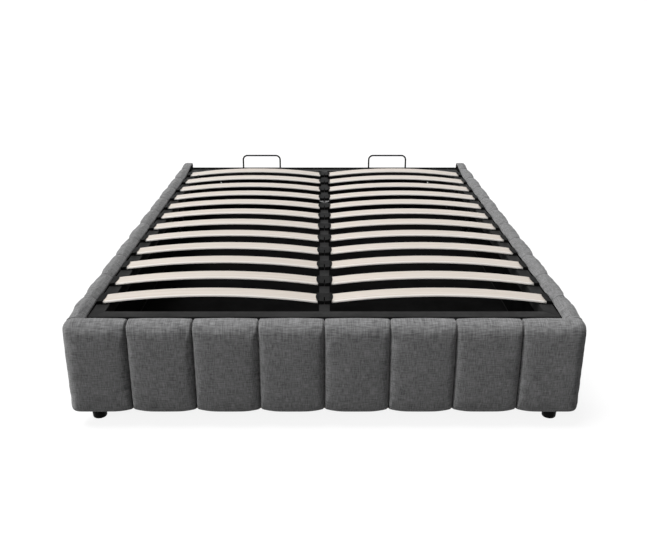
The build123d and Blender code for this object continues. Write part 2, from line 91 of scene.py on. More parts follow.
def coordinates(tree, source="Object", scale=(1, 1, 1)):
    """Texture coordinates, stretched by scale."""
    place = add(tree, "ShaderNodeTexCoord")
    mapping = add(tree, "ShaderNodeMapping", in_Scale=scale)
    tree.links.new(place.outputs[source], mapping.inputs["Vector"])
    return mapping.outputs["Vector"]


def noise_of(tree, vector, scale, detail=3.0, rough=0.55):
    """Noise between 0 and 1 over a vector."""
    node = add(tree, "ShaderNodeTexNoise", in_Scale=scale, in_Detail=detail, in_Roughness=rough)
    tree.links.new(vector, node.inputs["Vector"])
    return node.outputs["Fac"]


def uv_noise(tree, along_u, along_v, detail=3.0, rough=0.55):
    """Noise in metres of the UV map, with a scale of its own each way."""
    return noise_of(tree, coordinates(tree, "UV", (along_u, along_v, 1)), 1.0, detail, rough)


def ramp_of(tree, value, *stops):
    """A colour ramp through (position, colour) stops, where a colour may be one grey."""
    ramp = add(tree, "ShaderNodeValToRGB")
    while len(ramp.color_ramp.elements) < len(stops):
        ramp.color_ramp.elements.new(0.5)
    for element, (place, colour) in zip(ramp.color_ramp.elements, stops):
        element.position = place
        element.color = (*colour, 1) if len(colour) == 3 else (colour[0],) * 3 + (1,)
    tree.links.new(value, ramp.inputs["Fac"])
    return ramp.outputs["Color"]


def mottled(tree, vector, scale, low, high):
    """A value that drifts between low and high over a vector."""
    return ramp_of(tree, noise_of(tree, vector, scale), (0.3, (low,)), (0.7, (high,)))


def math_of(tree, op, a, b):
    """A math node on two numbers or sockets."""
    node = add(tree, "ShaderNodeMath", operation=op)
    for socket, value in zip(node.inputs, (a, b)):
        if isinstance(value, (int, float)):
            socket.default_value = value
        else:
            tree.links.new(value, socket)
    return node.outputs["Value"]


def mix_of(tree, a, b, fac):
    """Two colours mixed by fac, each a tuple or a socket."""
    node = add(tree, "ShaderNodeMix", data_type="RGBA")
    for socket, value in ((node.inputs[0], fac), (node.inputs[6], a), (node.inputs[7], b)):
        if isinstance(value, (int, float)):
            socket.default_value = value
        elif isinstance(value, tuple):
            socket.default_value = (*value, 1)
        else:
            tree.links.new(value, socket)
    return node.outputs[2]


def bump(tree, shader, height, distance, strength=1.0, under=None):
    """A bump of a real distance in metres, over another bump if one is given."""
    node = add(tree, "ShaderNodeBump", in_Strength=strength, in_Distance=distance)
    tree.links.new(height, node.inputs["Height"])
    if under is not None:
        tree.links.new(under, node.inputs["Normal"])
    tree.links.new(node.outputs["Normal"], shader.inputs["Normal"])
    return node.outputs["Normal"]


# Materials

# Texture scales of the cloth and the birch, along and across their threads or grain
SLUB = (36, 360)
THREAD = (90, 900)
CLOUD = 14
WEAVE = 115
STREAK = (2.2, 110)
FLECK = (30, 900)
LAYER = 75


def linen(name, dark, light, sheen):
    """Heather woven cloth: slubs along both threads over a fine weave, in metres of its UV map."""
    material, tree, shader = new_material(
        name, Roughness=0.95, Specular_IOR_Level=0.12, Sheen_Weight=sheen, Sheen_Roughness=0.45
    )
    slub_weft = uv_noise(tree, *SLUB, 1.5, 0.5)
    slub_warp = uv_noise(tree, *reversed(SLUB), 1.5, 0.5)
    thread_weft = uv_noise(tree, *THREAD, 2.0, 0.6)
    thread_warp = uv_noise(tree, *reversed(THREAD), 2.0, 0.6)
    cloud = uv_noise(tree, CLOUD, CLOUD, 2.0)
    slubs = math_of(tree, "ADD", slub_weft, slub_warp)
    threads = math_of(tree, "ADD", thread_weft, thread_warp)
    slub_share = math_of(tree, "MULTIPLY", slubs, 0.28)
    thread_share = math_of(tree, "MULTIPLY", threads, 0.18)
    both_threads = math_of(tree, "ADD", slub_share, thread_share)
    value = math_of(tree, "ADD", both_threads, math_of(tree, "MULTIPLY", cloud, 0.08))
    middle = tuple((a + b) / 2 for a, b in zip(dark, light))
    colour = ramp_of(tree, value, (0.40, dark), (0.50, middle), (0.60, light))
    tree.links.new(colour, shader.inputs["Base Color"])
    warp = add(tree, "ShaderNodeTexWave", wave_type="BANDS", bands_direction="X", in_Scale=1.0)
    weft = add(tree, "ShaderNodeTexWave", wave_type="BANDS", bands_direction="Y", in_Scale=1.0)
    for wave in (warp, weft):
        tree.links.new(coordinates(tree, "UV", (WEAVE, WEAVE, 1)), wave.inputs["Vector"])
    weave = math_of(tree, "MULTIPLY", warp.outputs["Fac"], weft.outputs["Fac"])
    fine = bump(tree, shader, weave, 0.0004, 0.5)
    bump(tree, shader, slubs, 0.0008, 0.4, under=fine)
    return material


def lining(name, tone):
    """Unwoven lining with small pressed dimples."""
    material, tree, shader = new_material(name, Roughness=0.95, Specular_IOR_Level=0.03)
    place = coordinates(tree)
    cells = add(tree, "ShaderNodeTexVoronoi", in_Scale=420.0)
    tree.links.new(place, cells.inputs["Vector"])
    colour = mottled(tree, place, 14.0, tone * 0.7, tone * 1.3)
    tree.links.new(colour, shader.inputs["Base Color"])
    bump(tree, shader, cells.outputs["Distance"], 0.0004, 0.6)
    return material


def birch(name):
    """Pale laminated birch: long faint streaks, and a tone of its own for each slat."""
    material, tree, shader = new_material(name, Roughness=0.55, Specular_IOR_Level=0.25)
    streak = uv_noise(tree, *STREAK, 4.0, 0.6)
    fleck = uv_noise(tree, *FLECK, 2.0, 0.6)
    tone = noise_of(tree, coordinates(tree, "Object", (0.8, 6.73, 1.0)), 1.0, 1.0)
    base = ramp_of(
        tree, streak,
        (0.32, (0.57, 0.51, 0.445)), (0.52, (0.63, 0.575, 0.52)), (0.75, (0.67, 0.62, 0.57)),
    )
    warm = mix_of(tree, base, (0.63, 0.56, 0.50), math_of(tree, "MULTIPLY", tone, 0.4))
    spots = ramp_of(tree, fleck, (0.66, (0.0,)), (0.78, (1.0,)))
    flecked = mix_of(tree, warm, (0.46, 0.38, 0.31), math_of(tree, "MULTIPLY", spots, 0.22))
    tree.links.new(flecked, shader.inputs["Base Color"])
    bump(tree, shader, streak, 0.0003, 0.35)
    return material


def painted_light_edge(name):
    """The sawn edge of a slat with its glued layers, painted paler than its face: the paleness is
    painted light, so that the edge reads as bright as the lit top.
    """
    material, tree, shader = new_material(name, Roughness=0.6, Specular_IOR_Level=0.25)
    layers = add(
        tree, "ShaderNodeTexWave", wave_type="BANDS", bands_direction="Y",
        in_Scale=1.0, in_Distortion=0.5,
    )
    tree.links.new(coordinates(tree, "UV", (2.0, LAYER, 1)), layers.inputs["Vector"])
    grain = uv_noise(tree, *FLECK)
    # These pale greys are painted light: the edge is whiter than the birch face so that it shows as
    # bright as the lit top
    base = ramp_of(
        tree, layers.outputs["Fac"],
        (0.1, (0.82, 0.77, 0.71)), (0.35, (0.92, 0.89, 0.85)), (1.0, (0.94, 0.91, 0.87)),
    )
    colour = mix_of(tree, base, (0.78, 0.72, 0.65), math_of(tree, "MULTIPLY", grain, 0.2))
    tree.links.new(colour, shader.inputs["Base Color"])
    bump(tree, shader, layers.outputs["Fac"], 0.0002, 0.4)
    return material


def coat(name, tone, rough, grain=0.00012):
    """Powder coat or moulded plastic: an even orange peel and slight wear in its gloss."""
    material, tree, shader = new_material(name, Roughness=rough, Specular_IOR_Level=0.03)
    place = coordinates(tree)
    colour = mottled(tree, place, 11.0, tone * 0.8, tone * 1.25)
    tree.links.new(colour, shader.inputs["Base Color"])
    gloss = mottled(tree, place, 45.0, rough - 0.06, rough + 0.07)
    tree.links.new(gloss, shader.inputs["Roughness"])
    bump(tree, shader, noise_of(tree, place, 1400.0, 1.0), grain, 0.5)
    return material


def steel(name, tone, rough):
    """Plated steel with fine turning marks."""
    material, tree, shader = new_material(name, Roughness=rough, Metallic=1.0)
    place = coordinates(tree)
    colour = mottled(tree, place, 60.0, tone * 0.85, tone)
    tree.links.new(colour, shader.inputs["Base Color"])
    gloss = mottled(tree, place, 900.0, rough * 0.8, rough * 1.3)
    tree.links.new(gloss, shader.inputs["Roughness"])
    bump(tree, shader, noise_of(tree, place, 2500.0, 1.0), 0.00005, 0.4)
    return material


def pine(name, light, dark):
    """Planed softwood with growth rings along the batten."""
    material, tree, shader = new_material(name, Roughness=0.75, Specular_IOR_Level=0.2)
    rings = add(
        tree, "ShaderNodeTexWave", wave_type="RINGS", rings_direction="Y",
        in_Scale=1.0, in_Distortion=4.0, in_Detail=2.0,
    )
    tree.links.new(coordinates(tree, "Object", (45, 1.5, 45)), rings.inputs["Vector"])
    fibre = noise_of(tree, coordinates(tree, "Object", (300, 6, 300)), 1.0, 3.0)
    base = ramp_of(tree, rings.outputs["Fac"], (0.2, light), (0.9, dark))
    colour = mix_of(tree, base, dark, math_of(tree, "MULTIPLY", fibre, 0.4))
    tree.links.new(colour, shader.inputs["Base Color"])
    bump(tree, shader, fibre, 0.0003, 0.4)
    return material


def chipboard(name):
    """Pressed chips, as on the rails' boards."""
    material, tree, shader = new_material(name, Roughness=0.85)
    cells = add(tree, "ShaderNodeTexVoronoi", in_Scale=260.0)
    tree.links.new(coordinates(tree), cells.inputs["Vector"])
    colour = ramp_of(
        tree, cells.outputs["Distance"],
        (0.0, (0.34, 0.25, 0.16)), (0.6, (0.55, 0.43, 0.29)), (1.0, (0.66, 0.54, 0.38)),
    )
    tree.links.new(colour, shader.inputs["Base Color"])
    bump(tree, shader, cells.outputs["Distance"], 0.0003, 0.5)
    return material


mat_linen = linen("linen", (0.098, 0.098, 0.099), (0.29, 0.29, 0.292), 0.4)
mat_lining = lining("lining", 0.003)
mat_floor = lining("floor_cloth", 0.0045)
mat_panel = lining("panel_cloth", 0.011)
mat_birch = birch("birch")
# The slats' edge material is painted paler than the face, as painted light
mat_painted_light_edge = painted_light_edge("painted_light_edge")
mat_tube = coat("tube_coat", 0.021, 0.5)
mat_bracket = coat("bracket_coat", 0.012, 0.5)
mat_cap = coat("cap_plastic", 0.0072, 0.55, 0.0002)
# The centre caps' lips are a darker black than the roofs: painted shade on the steep lips
mat_lip_painted_shade = coat("lip_painted_shade", 0.004, 0.6, 0.0002)
mat_foot = coat("foot_plastic", 0.01, 0.38, 0.0001)
mat_strut = coat("strut_coat", 0.012, 0.25)
mat_wire = coat("wire_coat", 0.012, 0.4)
mat_clip = steel("dull_zinc", 0.26, 0.5)
mat_bolt = steel("blackened_zinc", 0.12, 0.5)
mat_rod = steel("rod", 0.16, 0.28)
# The battens' pine is painted near-black: painted shade of the dark inside of the storage base
mat_pine_painted_shade = pine("pine_painted_shade", (0.005, 0.0048, 0.0046), (0.003, 0.0029, 0.0028))
mat_chip = chipboard("chipboard")


# Mesh helpers

SHARP_ANGLE = 30


def both(name):
    """The left and right names of a pair."""
    return [f"{name}_left", f"{name}_right"]


def make_piece(name, bm, materials, body, replaced=()):
    """Turn a bmesh into a scene piece that rides on a body."""
    bmesh.ops.recalc_face_normals(bm, faces=bm.faces)
    mesh = bpy.data.meshes.new(name)
    bm.to_mesh(mesh)
    bm.free()
    for material in materials:
        mesh.materials.append(material)
    piece = bpy.data.objects.new(name, mesh)
    scene.collection.objects.link(piece)
    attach(piece, body)
    for node in replaced:
        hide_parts(node)
    return piece


def bevel(piece, width, segments=2):
    """Ease a piece's sharp edges."""
    ease = piece.modifiers.new("ease", "BEVEL")
    ease.width = width
    ease.segments = segments
    ease.limit_method = "ANGLE"
    ease.angle_limit = math.radians(SHARP_ANGLE)
    ease.harden_normals = True


def sweep_rings(bm, rings, smooth=True):
    """Join closed rings of points into a skin, with its ends closed."""
    made = [[bm.verts.new(point) for point in ring] for ring in rings]
    for first, second in zip(made[:-1], made[1:]):
        for k in range(len(first)):
            j = (k + 1) % len(first)
            bm.faces.new((first[k], second[k], second[j], first[j])).smooth = smooth
    bm.faces.new(made[0])
    bm.faces.new(made[-1])


def lathe(bm, start, way, profile, sides=40):
    """A turned form about the line from start along way, from (along, radius) points."""
    way = Vector(way).normalized()
    across = way.orthogonal().normalized()
    over = way.cross(across)
    rings = []
    for along, radius in profile:
        centre = Vector(start) + way * along
        turns = [2 * math.pi * k / sides for k in range(sides)]
        rings.append([centre + (across * math.cos(a) + over * math.sin(a)) * radius for a in turns])
    sweep_rings(bm, rings)


def eased_profile(start, end, radius, ease):
    """Profile of a plain cylinder with its two edges rounded."""
    turns = [math.radians(a) for a in (90, 67.5, 45, 22.5, 0)]
    corner = [(ease * (1 - math.cos(a)), radius - ease * (1 - math.sin(a))) for a in turns]
    low = [(start + along, out) for along, out in reversed(corner)]
    high = [(end - along, out) for along, out in corner]
    return low + high


# Padded covers

# The space they fill
FOOT_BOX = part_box("foot_rail_cover")
SIDE_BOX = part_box("side_rail_cover_right")
HALF_OUT = SIDE_BOX[1][0]
HALF_IN = SIDE_BOX[0][0]
FOOT_IN = FOOT_BOX[1][1]
HEAD_END = SIDE_BOX[1][1]
CREST = FOOT_BOX[1][2]
HEM_HANG = 0.002
HEM = FOOT_BOX[0][2] - HEM_HANG
THICK = HALF_OUT - HALF_IN

# Sections: the ridge's share of the depth, the drop from it to the inner edge, the fall of the
# outer roll, and how much lower the crest lies
RIDGE_SHARE = 0.45
SIDE_SHAPE = (RIDGE_SHARE, 0.019, 0.028, 0.0)
FOOT_LOWER = 0.0092
FOOT_SHAPE = (0.09, 0.003, 0.050, FOOT_LOWER)
LEAST_ROLL = 0.001
LONGEST_FALL = 1.6
RIDGE_POWER = 1.5
BELLY_POWER = 2.5
SQUARENESS = 3.2
BELLY = 0.0028
HEM_ROLL = 0.024
HEM_TUCK = 0.014
WALL_STEPS = 12
RIDGE_STEPS = 8
ROLL_STEPS = 9
FACE_STEPS = 24
HEM_STEPS = 5

# Seams: where they are, how deep the cloth is drawn in there and how wide each form runs
FOOT_PITCH_SHARE = 0.1256
SIDE_PITCH_SHARE = 0.09626
FIRST_SEAM_SHARE = 0.0766
FOOT_PITCH = 2 * HALF_OUT * FOOT_PITCH_SHARE
SIDE_LENGTH = HEAD_END - FOOT_IN
SIDE_PITCH = SIDE_LENGTH * SIDE_PITCH_SHARE
FOOT_SEAMS = [n * FOOT_PITCH for n in range(-3, 4)]
SIDE_SEAMS = [FOOT_IN + SIDE_LENGTH * FIRST_SEAM_SHARE + n * SIDE_PITCH for n in range(10)]
NEAR = (0.0, 0.0008, 0.0022, 0.0042, 0.0068, 0.010, 0.0135, 0.018, 0.024, 0.031)
ROUND_SHARES = (0.02, 0.07, 0.15, 0.27, 0.42, 0.6, 0.8, 1.0)
WIDEST_STEP = 0.0095
SEAM_DEPTH = 0.0132
SEAM_DROP = 0.009
SEAM_LIFT = 0.0075
SIDE_DEEPER = 1.1
FOOT_CROWN = 0.22
SIDE_CROWN = 0.33
FLANK = 0.0062
SHOULDER = 0.055
SHOULDER_SHARE = 0.08
SHOULDER_POWER = 2.4
LIFT_POWER = 1.8
GROOVE = 0.0028
GROOVE_SHARE = 0.42

# The side rails' inner edges swell between the seams, and the padding fills their drop there
INNER_PUFF = 0.0034
PUFF_DEPTH = 0.03
PUFF_FROM = 0.300
PUFF_BLEND = 0.02
FILL_DEPTH = 0.62
FILL_SHARE = 0.25
FILL_POWER = 1.5
FILL_BAND = 0.06

# Ends: the side rails meet the foot rail and run level at the head end
FOOT_ROUND = THICK * (1 - RIDGE_SHARE)
JOINT_PLAY = 0.0003
SIDE_START = FOOT_IN + JOINT_PLAY
SIDE_ROUND = 0.006
SIDE_MEETS = 0.09
JOINT_DRAW = 0.06
LEVEL_LENGTH = 0.02
LEVEL_BLEND = 0.24
END_RINGS = (0.75, 0.45, 0.18)

# Cloth: the room it has to swell, what is held, and its small creases and unevenness
SWELL = 0.0022
PRESSURE = 3.0
FRAMES = 14
REACH = 0.0036
HELD_SEAM = 0.0008
HELD_EDGE = 0.012
EASE_IN = 0.02
CREASE = 0.0004
CREASE_AT = 0.010
CREASE_SCALE = (12, 52)
UNEVEN = 0.0006
UNEVEN_FROM = 0.03
UNEVEN_SCALE = (10, 9)
UNEVEN_OFFSET = 5
CORE_DEPTH = 0.03
UV_SHIFT = 0.37


def drawn(s, half, crown_share):
    """How far the cloth is drawn in at a distance s from a seam: 1 at the stitches, 0 midway."""
    flank = 1 - math.sqrt(1 - max(0.0, 1 - s / FLANK) ** 2)
    shoulder = max(0.0, 1 - s / SHOULDER) ** SHOULDER_POWER
    crown = max(0.0, 1 - s / half) ** 2
    groove = max(0.0, 1 - s / GROOVE)
    sides = (1 - SHOULDER_SHARE - crown_share) * flank + SHOULDER_SHARE * shoulder
    return sides + crown_share * crown + GROOVE_SHARE * groove


def lifted(s):
    """How far the hem is drawn up at a distance s from a seam."""
    return max(0.0, 1 - s / SHOULDER) ** LIFT_POWER


def rounded(e, radius):
    """How far a rounded end has sunk at a distance e from the end."""
    return radius - math.sqrt(max(0.0, radius**2 - (radius - min(e, radius)) ** 2))


def smooth_step(t):
    """t between 0 and 1 with a level start and end."""
    return t**2 * (3 - 2 * t)


def stations(start, end, seams, start_round=None, end_round=None):
    """Places along a rail, close together by its seams and rounded ends."""
    places = {start, end}
    for seam in seams:
        for s in NEAR:
            places.update((seam - s, seam + s))
    for edge, sign, radius in ((start, 1, start_round), (end, -1, end_round)):
        if radius:
            places.update(edge + sign * radius * share for share in ROUND_SHARES)
    kept = sorted(p for p in places if start <= p <= end)
    spare = []
    for a, b in zip(kept[:-1], kept[1:]):
        count = math.ceil((b - a) / WIDEST_STEP)
        spare += [a + (b - a) * k / count for k in range(1, count)]
    return sorted(kept + spare)


def section(draw, lift, sink, flat, shape, inner_puff=None):
    """Points (depth, height) round a padded rail, from its inner hem up and over.

    draw and lift say how far a seam draws it in and lifts its hem, sink how far it has sunk at
    a rounded end. flat is 1 where the top runs level to its inner edge. inner_puff is how far
    that edge swells, on the side rails alone."""
    share, drop, fall, lower = shape
    depth = THICK - SWELL - SEAM_DEPTH * draw - sink
    free_crest = CREST - SWELL / 2 - sink - lower
    crest = free_crest - SEAM_DROP * draw
    ridge = depth * share
    rise = drop * depth / THICK * (1 - flat)
    edge = crest - rise
    radius = depth - ridge
    hem = HEM + SEAM_LIFT * lift
    low = hem + HEM_ROLL
    fall = min(fall, max(radius, LEAST_ROLL) * LONGEST_FALL)
    roll = crest - fall
    middle, half = (roll + low) / 2, (roll - low) / 2
    points = [(0.0, HEM + (edge - HEM) * k / WALL_STEPS) for k in range(WALL_STEPS)]
    for k in range(RIDGE_STEPS):
        dip = rise * (1 - k / RIDGE_STEPS) ** RIDGE_POWER
        points.append((ridge * k / RIDGE_STEPS, crest - dip))
    for k in range(ROLL_STEPS):
        a = math.pi / 2 * k / ROLL_STEPS
        out, up = math.sin(a) ** (2 / SQUARENESS), math.cos(a) ** (2 / SQUARENESS)
        points.append((ridge + (radius - BELLY) * out, crest - fall * (1 - up)))
    for k in range(FACE_STEPS):
        z = roll + (low - roll) * k / FACE_STEPS
        points.append((depth - BELLY * abs((z - middle) / half) ** BELLY_POWER, z))
    for k in range(HEM_STEPS + 1):
        a = math.pi / 2 * k / HEM_STEPS
        out = depth - BELLY - HEM_TUCK * (1 - math.cos(a))
        points.append((out, low - HEM_ROLL * math.sin(a)))
    for k in range(1, HEM_STEPS):
        out = (depth - BELLY - HEM_TUCK) * (1 - k / HEM_STEPS)
        points.append((out, hem + (HEM - hem) * k / HEM_STEPS))
    if inner_puff is None:
        return points
    reach = FILL_DEPTH * depth
    fill = FILL_SHARE * (free_crest - crest)
    puffed = []
    for w, z in points:
        high_up = min(1.0, max(0.0, (z - PUFF_FROM) / PUFF_BLEND))
        filled = fill * max(0.0, 1 - w / reach) ** FILL_POWER * (z > CREST - FILL_BAND)
        puffed.append((w - inner_puff * max(0.0, 1 - w / PUFF_DEPTH) * high_up, z + filled))
    return puffed


def bumpiness(p, w, z, scale, seed, offset=0):
    """Smooth noise over a cover, with a scale along it and one round its section."""
    along, around = scale
    return noise.noise(Vector((p * along + seed, z * around + offset, w * around)))


def close_end(bm, uv, ring, seed):
    """Close a cover's end with rings that shrink to its middle."""
    middle = sum((v.co for v in ring), Vector()) / len(ring)
    last = ring
    made = []
    for share in END_RINGS:
        inner = [bm.verts.new(middle + (v.co - middle) * share) for v in ring]
        for k in range(len(ring)):
            j = (k + 1) % len(ring)
            made.append(bm.faces.new((last[k], last[j], inner[j], inner[k])))
        last = inner
    made.append(bm.faces.new(last))
    for face in made:
        face.smooth = True
        for loop in face.loops:
            loop[uv].uv = (loop.vert.co.y + loop.vert.co.x + seed, loop.vert.co.z)


def inflate(piece, group):
    """Let the padding swell between its held seams by a cloth simulation, by REACH at most."""
    cloth = piece.modifiers.new("cloth", "CLOTH")
    settings = cloth.settings
    settings.quality = 5
    settings.mass = 0.02
    settings.tension_stiffness = settings.compression_stiffness = 12
    settings.shear_stiffness = 4
    settings.bending_stiffness = 0.4
    settings.use_pressure = True
    settings.uniform_pressure_force = PRESSURE
    settings.vertex_group_mass = group
    settings.shrink_min = -0.012
    settings.effector_weights.gravity = 0
    cloth.collision_settings.use_collision = False
    cloth.collision_settings.use_self_collision = False
    cloth.point_cache.frame_start = 1
    cloth.point_cache.frame_end = FRAMES
    for step in range(1, FRAMES + 1):
        scene.frame_set(step)
    settled = piece.evaluated_get(bpy.context.evaluated_depsgraph_get()).to_mesh()
    for vert, moved in zip(piece.data.vertices, settled.vertices):
        shift = moved.co - vert.co
        if shift.length > 1e-7:
            vert.co += shift * (REACH * (1 - math.exp(-shift.length / REACH)) / shift.length)
    piece.modifiers.remove(cloth)
    scene.frame_set(1)


def cover(name, node, places, section_at, place, seams, seed):
    """A closed padded cover. place(along, depth, height) puts a point in the frame."""
    rows = [section_at(p) for p in places]
    count = len(rows[0])
    bm = bmesh.new()
    uv = bm.loops.layers.uv.new("UVMap")
    full = section(0, 0, 0, 0, SIDE_SHAPE)
    run = [0.0]
    for a, b in zip(full, full[1:] + full[:1]):
        run.append(run[-1] + math.hypot(b[0] - a[0], b[1] - a[1]))
    grid, pinned = [], []
    for p, row in zip(places, rows):
        near = min(abs(p - s) for s in seams)
        line = []
        for w, z in row:
            spot = Vector(place(p, w, z))
            padded = min(1, max(0, (w - HELD_EDGE) / EASE_IN))
            pull = math.exp(-(((near - CREASE_AT) / CREASE_AT) ** 2))
            crease = bumpiness(p, w, z, CREASE_SCALE, seed) * CREASE * pull
            soft = bumpiness(p, w, z, UNEVEN_SCALE, seed, UNEVEN_OFFSET) * UNEVEN
            soft *= min(1, near / UNEVEN_FROM)
            out = spot - Vector(place(p, THICK * RIDGE_SHARE, min(z, CREST - CORE_DEPTH)))
            if out.length > 1e-6:
                spot += out.normalized() * (crease + soft) * padded
            line.append(bm.verts.new(spot))
            held = near < HELD_SEAM or w < HELD_EDGE or z < HEM + HELD_EDGE
            if held or p == places[-1]:
                pinned.append(line[-1])
        grid.append(line)
    for i in range(len(places) - 1):
        for k in range(count):
            j = (k + 1) % count
            face = bm.faces.new((grid[i][k], grid[i + 1][k], grid[i + 1][j], grid[i][j]))
            face.smooth = True
            along = (places[i], places[i + 1], places[i + 1], places[i])
            for loop, u, v in zip(face.loops, along, (run[k], run[k], run[k + 1], run[k + 1])):
                loop[uv].uv = (u + seed * UV_SHIFT, v)
            face.material_index = 1 if k < WALL_STEPS else 0
    bm.verts.index_update()
    held_indices = [v.index for v in pinned]
    grid_size = len(places) * count
    for ring in (grid[0], grid[-1]):
        close_end(bm, uv, ring, seed)
    piece = make_piece(name, bm, (mat_linen, mat_lining), "base", (node,))
    held_indices += range(grid_size, len(piece.data.vertices))
    group = piece.vertex_groups.new(name="held")
    group.add(held_indices, 1.0, "REPLACE")
    inflate(piece, "held")
    smooth = piece.modifiers.new("smooth", "SUBSURF")
    smooth.levels = smooth.render_levels = 1


def foot_section(x):
    """Section of the foot rail, not drawn in at its rounded corners."""
    near = min(abs(x - s) for s in FOOT_SEAMS)
    if abs(x) > HALF_OUT - FOOT_ROUND:
        return section(0, 0, rounded(HALF_OUT - abs(x), FOOT_ROUND), 0, FOOT_SHAPE)
    return section(drawn(near, FOOT_PITCH / 2, FOOT_CROWN), lifted(near), 0, 0, FOOT_SHAPE)


def side_section(y):
    """Section of a side rail, whose first channel butts on the foot rail."""
    near = min(abs(y - s) for s in SIDE_SEAMS)
    joint = drawn(y - SIDE_START, SIDE_PITCH / 2, SIDE_CROWN) * JOINT_DRAW
    flat = smooth_step(min(1.0, max(0.0, 1 - (HEAD_END - LEVEL_LENGTH - y) / LEVEL_BLEND)))
    sink = rounded(HEAD_END - y, SIDE_ROUND)
    draw = max(joint, drawn(near, SIDE_PITCH / 2, SIDE_CROWN) * SIDE_DEEPER)
    lower = FOOT_LOWER * smooth_step(max(0.0, 1 - (y - SIDE_START) / SIDE_MEETS))
    away = min(1.0, min(near, y - SIDE_START) / (SIDE_PITCH / 2))
    puff = INNER_PUFF * (1 - (1 - away) ** 3) * (1 - flat)
    return section(draw, lifted(near), sink, flat, (*SIDE_SHAPE[:3], lower), puff)


foot_places = stations(-HALF_OUT, HALF_OUT, FOOT_SEAMS, FOOT_ROUND, FOOT_ROUND)
cover(
    "foot_rail_padding", "foot_rail_cover", foot_places, foot_section,
    lambda p, w, z: (p, FOOT_IN - w, z), FOOT_SEAMS, 1.3,
)
side_places = stations(SIDE_START, HEAD_END, SIDE_SEAMS + [SIDE_START], None, SIDE_ROUND)
for side, name, seed in ((-1, "left", 4.1), (1, "right", 7.7)):
    cover(
        f"side_rail_padding_{name}", f"side_rail_cover_{name}", side_places, side_section,
        lambda p, w, z, side=side: (side * (HALF_IN + w), p, z), SIDE_SEAMS, seed,
    )


# Sprung slats

# The nose is the long rounding of both upper edges. A slat reaches SLAT_FORE nearer the foot end
# and SLAT_SOLE lower than its node, and lies SLAT_SETTLE deeper in its caps.
SLAT_THICK = 0.008
SLAT_EASE = 0.0012
NOSE_DEEP = 0.008
NOSE_TALL = 0.0078
SLAT_FORE = 0.006
SLAT_SOLE = 0.0012
SLAT_SETTLE = 0.0007
SLAT_STEPS = 28
GRAIN_SHIFT = 3

# What lies below FACE_FROM and out past the nose's start by EDGE_FROM is the sawn edge, whose paler
# material is painted light
FACE_FROM = SLAT_THICK - 0.0005
EDGE_FROM = 0.001


def arch_of(node):
    """A slat's middle x, lower end height, camber and bending radius, from its node's box."""
    low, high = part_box(node)
    span = high[0] - low[0]
    camber = high[2] - low[2] - SLAT_THICK
    return (low[0] + high[0]) / 2, low[2], camber, (span**2 / 4 + camber**2) / (2 * camber)


def slat_under(x, node):
    """Height of a slat's lower face at x."""
    middle, low_z, camber, radius = arch_of(node)
    return low_z - SLAT_SETTLE + math.sqrt(radius**2 - (x - middle) ** 2) - (radius - camber)


def slat(name, node):
    """A bent laminated strip with long rounded upper edges, along the arch of its CAD node."""
    low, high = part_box(node)
    span = high[0] - low[0]
    middle_y = (low[1] + high[1] - SLAT_FORE) / 2
    half = (high[1] - low[1] + SLAT_FORE) / 2
    quarter = [math.radians(18 * k) for k in range(6)]
    nose_y, nose_z = half - NOSE_DEEP, SLAT_THICK - NOSE_TALL
    ring = [(nose_y + NOSE_DEEP * math.cos(t), nose_z + NOSE_TALL * math.sin(t)) for t in quarter]
    ring += [(-y, z) for y, z in reversed(ring)]
    low_edge = [
        (half - SLAT_EASE * (1 - math.sin(t)), SLAT_EASE * (1 - math.cos(t)) - SLAT_SOLE)
        for t in quarter[::2]
    ]
    ring += [(-y, z) for y, z in reversed(low_edge)] + low_edge
    bm = bmesh.new()
    uv = bm.loops.layers.uv.new("UVMap")
    rows = []
    for i in range(SLAT_STEPS + 1):
        x = low[0] + span * i / SLAT_STEPS
        z = slat_under(x, node)
        rows.append([bm.verts.new((x, middle_y + cy, z + cz)) for cy, cz in ring])
    for i in range(SLAT_STEPS):
        for k in range(len(ring)):
            j = (k + 1) % len(ring)
            face = bm.faces.new((rows[i][k], rows[i + 1][k], rows[i + 1][j], rows[i][j]))
            face.smooth = True
            below = max(ring[k][1], ring[j][1]) < FACE_FROM
            on_edge = below and max(abs(ring[k][0]), abs(ring[j][0])) > nose_y + EDGE_FROM
            # Edge faces take the paler edge material, whose paleness is painted light
            face.material_index = 1 if on_edge else 0
            for loop, (a, b) in zip(face.loops, ((i, k), (i + 1, k), (i + 1, j), (i, j))):
                across = ring[b][1] if on_edge else ring[b][0]
                along = span * a / SLAT_STEPS + middle_y * GRAIN_SHIFT + low[0]
                loop[uv].uv = (along, across + middle_y)
    for row in (rows[0], rows[-1]):
        face = bm.faces.new(row)
        face.material_index = 1
        for loop in face.loops:
            loop[uv].uv = (loop.vert.co.y, loop.vert.co.z - low[2])
    make_piece(name, bm, (mat_birch, mat_painted_light_edge), "platform", (node,))


SLAT_NODES = sorted(name for name in nodes if name.startswith("slat_"))
for node in SLAT_NODES:
    slat(f"bent_{node}", node)


# Slat caps: moulded sleeves with a bowed lip, and a split down the middle of the centre ones

CAP_WALL = 0.0035
CAP_ROOF = 0.0014
CAP_PLAY = 0.0003
CAP_EASE = 0.0005
LIP_TUCK = 0.0015
SHELF_PLAY = 0.0002
CHEEK_BACK = 0.002
CHEEK_DEEP = 0.001
CHEEK_INSET = 0.0004
LIP_BOW = 0.005
LIP_STEPS = 8
LIP_BACK = 0.0155
SPLIT = 0.0015
END_MOUTH = 0.012
ROWS = []
for node in SLAT_NODES:
    if node.endswith("_right"):
        low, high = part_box(node)
        y_mid = (low[1] + high[1] - SLAT_FORE) / 2
        ROWS.append((y_mid, (high[1] - low[1] + SLAT_FORE) / 2 + CAP_WALL, node))


